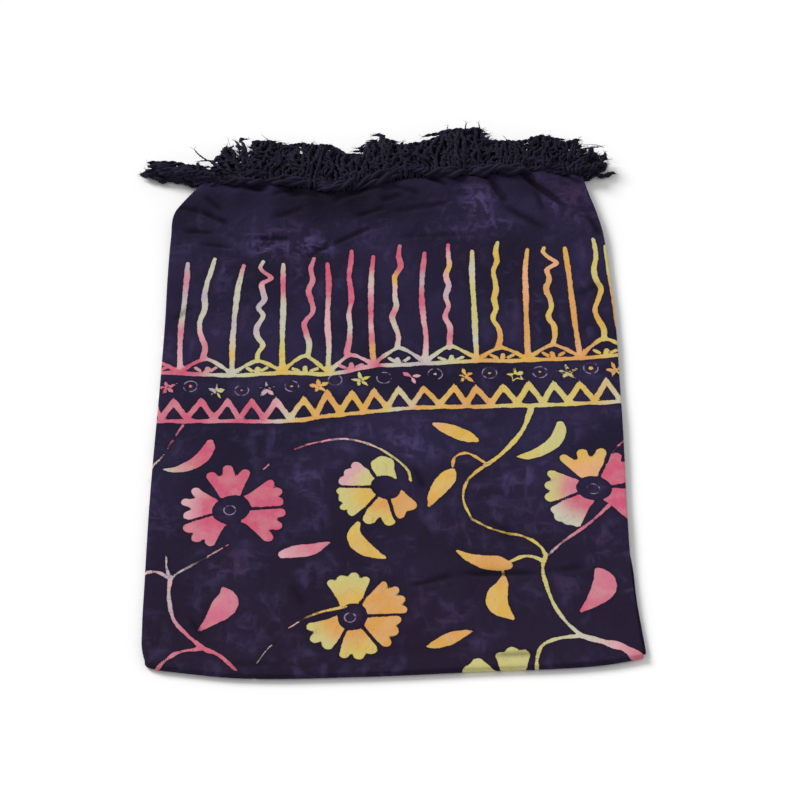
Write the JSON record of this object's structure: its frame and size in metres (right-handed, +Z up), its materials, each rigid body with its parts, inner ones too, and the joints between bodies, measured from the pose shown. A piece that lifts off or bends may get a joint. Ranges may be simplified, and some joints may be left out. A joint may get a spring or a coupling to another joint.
{
  "type": "folded sarong",
  "caption": "Rectangular batik cloth with twisted fringe at both ends, folded into a flat packet that lies on a surface.",
  "frame": {"origin": "on the flat underside, below the middle of the folded packet", "axes": "+Y from the front fold to the fringe, +Z up from the surface it lies on, +X to the right seen from the front fold"},
  "size_m": [0.6327, 0.8913, 0.0224],
  "materials": {
    "batik_cloth": "soft matte rayon, wax-resist dyed",
    "fringe_yarn": "matte twisted yarn, near black purple"
  },
  "bodies": {
    "root": {"cloth_outer": "batik_cloth", "cloth_inner": "batik_cloth", "fringe_under": "fringe_yarn", "fringe_inner_low": "fringe_yarn", "fringe_inner_high": "fringe_yarn", "fringe_top": "fringe_yarn"}
  },
  "joints": []
}
